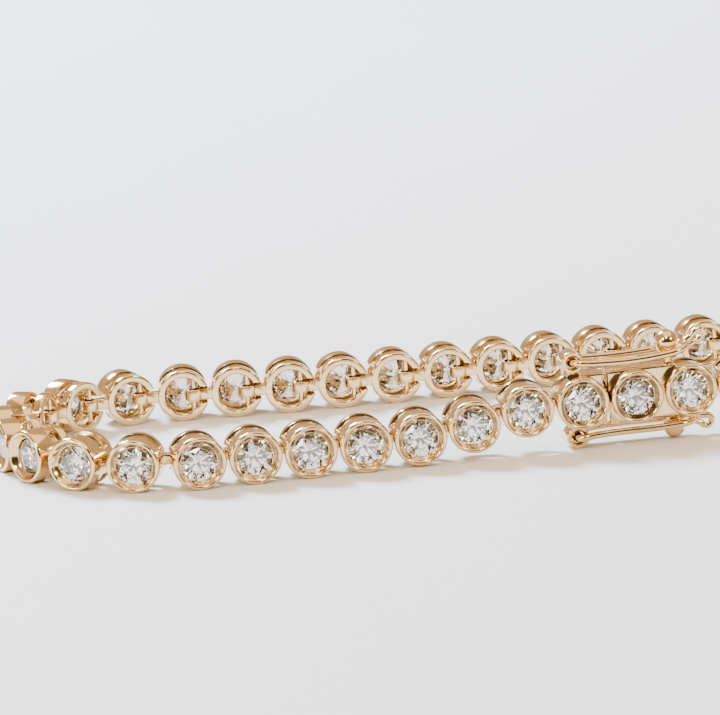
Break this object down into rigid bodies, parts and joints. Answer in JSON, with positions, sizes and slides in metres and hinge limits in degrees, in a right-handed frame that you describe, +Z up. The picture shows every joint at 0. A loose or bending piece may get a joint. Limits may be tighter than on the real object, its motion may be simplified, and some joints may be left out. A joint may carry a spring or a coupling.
{
  "type": "tennis bracelet",
  "caption": "Closed loop of round bezel-set stones on hinged gold links, with a box clasp and two figure-eight safety latches, lying on its edge.",
  "frame": {"origin": "centre of the bracelet's footprint, on the surface that it lies on", "axes": "+Z up from the surface; X along the loop's long way, with the clasp at -Y; every stone faces outwards"},
  "size_m": [0.0824, 0.0294, 0.0084],
  "materials": {
    "rose_gold": "polished 14 carat rose gold",
    "diamond": "polished round brilliant diamond"
  },
  "bodies": {
    "bracelet": {"link_01": "rose_gold", "link_02": "rose_gold", "link_03": "rose_gold", "link_04": "rose_gold", "link_05": "rose_gold", "link_06": "rose_gold", "link_07": "rose_gold", "link_08": "rose_gold", "link_09": "rose_gold", "link_10": "rose_gold", "link_11": "rose_gold", "link_12": "rose_gold", "link_13": "rose_gold", "link_14": "rose_gold", "link_15": "rose_gold", "link_16": "rose_gold", "link_17": "rose_gold", "link_18": "rose_gold", "link_19": "rose_gold", "link_20": "rose_gold", "link_21": "rose_gold", "link_22": "rose_gold", "link_23": "rose_gold", "link_24": "rose_gold", "link_25": "rose_gold", "link_26": "rose_gold", "link_27": "rose_gold", "link_28": "rose_gold", "link_29": "rose_gold", "link_30": "rose_gold", "link_31": "rose_gold", "link_32": "rose_gold", "link_33": "rose_gold", "link_34": "rose_gold", "link_35": "rose_gold", "link_36": "rose_gold", "link_37": "rose_gold", "link_38": "rose_gold", "link_39": "rose_gold", "clasp_tongue": "rose_gold", "clasp_box": "rose_gold"},
    "upper_latch": {"upper_latch": "rose_gold"},
    "lower_latch": {"lower_latch": "rose_gold"}
  },
  "joints": [
    {"name": "upper_latch_hinge", "type": "hinge", "parent": "bracelet", "child": "upper_latch", "pos_m": [0.00196, -0.01225, 0.00673], "axis": [0, -1, 0], "range_deg": [0, 110]},
    {"name": "lower_latch_hinge", "type": "hinge", "parent": "bracelet", "child": "lower_latch", "pos_m": [0.00211, -0.01225, 0.00089], "axis": [0, 1, 0], "range_deg": [0, 110]}
  ]
}
